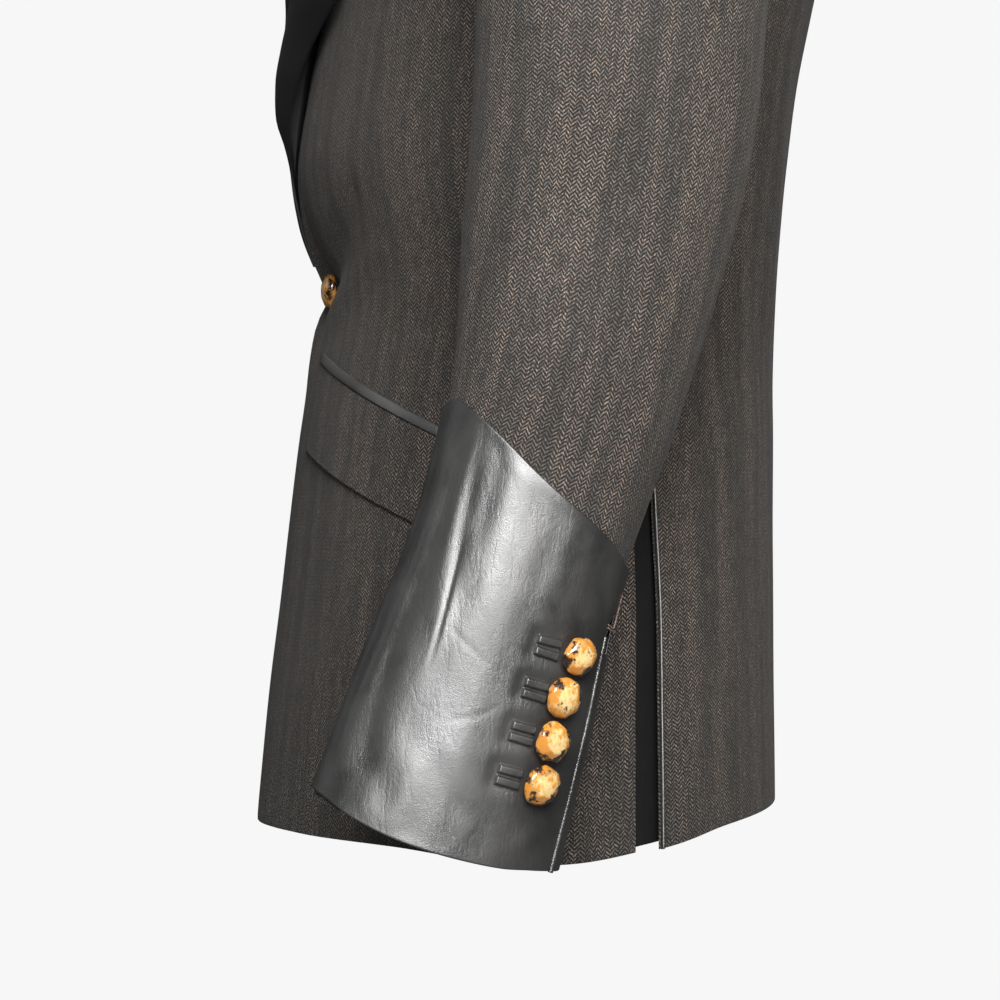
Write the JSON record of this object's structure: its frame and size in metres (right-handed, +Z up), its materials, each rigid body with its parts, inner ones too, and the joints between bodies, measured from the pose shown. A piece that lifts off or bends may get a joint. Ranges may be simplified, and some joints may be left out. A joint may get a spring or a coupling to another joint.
{
  "type": "blazer",
  "caption": "Tailored one-button blazer, filled out as if worn, with wide smooth lapels, slanted flap pockets, side vents and shaped leather cuffs.",
  "frame": {"origin": "midway between the two neck points, at the height of the neck edge, where the wearer's shoulders and neck hold the blazer up", "axes": "+Z up; the blazer faces -Y; +X is the wearer's left"},
  "size_m": [0.64, 0.2961, 0.7726],
  "materials": {
    "cloth": "fine herringbone in charcoal, brown and tan yarn",
    "leather": "smooth black leather with a broad soft sheen",
    "satin": "smooth black lapel facing",
    "horn": "polished amber and brown horn"
  },
  "bodies": {
    "root": {"left_front": "cloth", "left_side": "cloth", "left_back": "cloth", "left_vent_underlap": "satin", "left_vent_piping": "leather", "left_top_sleeve": "cloth", "left_under_sleeve": "cloth", "left_cuff": "leather", "left_cuff_underlap": "leather", "left_cuff_button_1": "horn", "left_cuff_button_2": "horn", "left_cuff_button_3": "horn", "left_cuff_button_4": "horn", "left_buttonhole_1": "leather", "left_buttonhole_2": "leather", "left_buttonhole_3": "leather", "left_buttonhole_4": "leather", "left_lapel": "satin", "left_pocket_welt": "leather", "left_pocket_flap": "cloth", "right_front": "cloth", "right_side": "cloth", "right_back": "cloth", "right_vent_underlap": "satin", "right_vent_piping": "leather", "right_top_sleeve": "cloth", "right_under_sleeve": "cloth", "right_cuff": "leather", "right_cuff_underlap": "leather", "right_cuff_button_1": "horn", "right_cuff_button_2": "horn", "right_cuff_button_3": "horn", "right_cuff_button_4": "horn", "right_buttonhole_1": "leather", "right_buttonhole_2": "leather", "right_buttonhole_3": "leather", "right_buttonhole_4": "leather", "right_lapel": "satin", "right_pocket_welt": "leather", "right_pocket_flap": "cloth", "collar": "satin", "front_button": "horn"}
  },
  "joints": []
}
